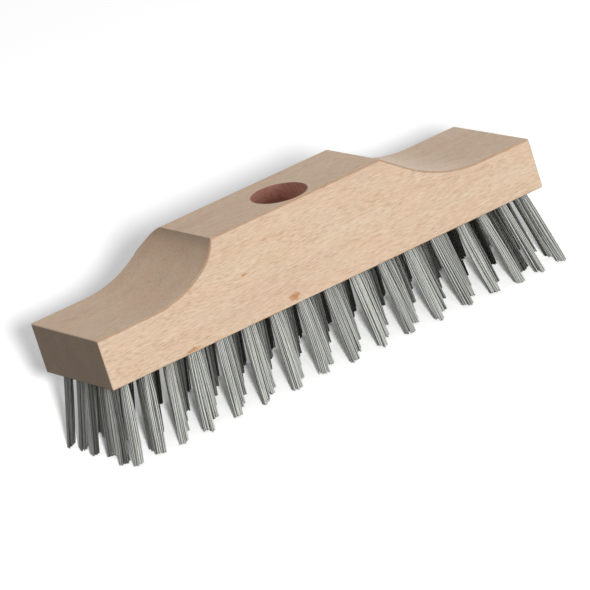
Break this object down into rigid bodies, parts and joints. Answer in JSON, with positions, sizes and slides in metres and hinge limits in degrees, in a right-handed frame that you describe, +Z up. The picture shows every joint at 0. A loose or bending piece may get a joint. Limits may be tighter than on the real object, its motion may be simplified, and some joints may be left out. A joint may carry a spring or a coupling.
{
  "type": "wire scrubbing brush head",
  "caption": "Saddle-shaped beech brush block with rows of flared steel wire tufts below and a slanted handle socket in its raised middle.",
  "frame": {"origin": "under the middle of the block, on the plane of the wire tips", "axes": "+X along the block, +Y across it away from the side the handle leans to, +Z up"},
  "size_m": [0.2878, 0.0842, 0.0981],
  "materials": {
    "beech": "sanded, unvarnished",
    "steel_wire": "drawn wire, satin",
    "anchor_steel": "plain"
  },
  "bodies": {
    "root": {"anchors_row_1": "anchor_steel", "anchors_row_2": "anchor_steel", "anchors_row_3": "anchor_steel", "anchors_row_4": "anchor_steel", "anchors_row_5": "anchor_steel", "anchors_row_6": "anchor_steel", "block": "beech", "even_row_tufts_01": "steel_wire", "even_row_tufts_02": "steel_wire", "even_row_tufts_03": "steel_wire", "even_row_tufts_04": "steel_wire", "even_row_tufts_05": "steel_wire", "even_row_tufts_06": "steel_wire", "even_row_tufts_07": "steel_wire", "even_row_tufts_08": "steel_wire", "even_row_tufts_09": "steel_wire", "even_row_tufts_10": "steel_wire", "even_row_tufts_11": "steel_wire", "even_row_tufts_12": "steel_wire", "even_row_tufts_13": "steel_wire", "even_row_tufts_14": "steel_wire", "even_row_tufts_15": "steel_wire", "even_row_tufts_16": "steel_wire", "odd_row_tufts_01": "steel_wire", "odd_row_tufts_02": "steel_wire", "odd_row_tufts_03": "steel_wire", "odd_row_tufts_04": "steel_wire", "odd_row_tufts_05": "steel_wire", "odd_row_tufts_06": "steel_wire", "odd_row_tufts_07": "steel_wire", "odd_row_tufts_08": "steel_wire", "odd_row_tufts_09": "steel_wire", "odd_row_tufts_10": "steel_wire", "odd_row_tufts_11": "steel_wire", "odd_row_tufts_12": "steel_wire", "odd_row_tufts_13": "steel_wire", "odd_row_tufts_14": "steel_wire", "odd_row_tufts_15": "steel_wire", "odd_row_tufts_16": "steel_wire", "odd_row_tufts_17": "steel_wire"}
  },
  "joints": []
}
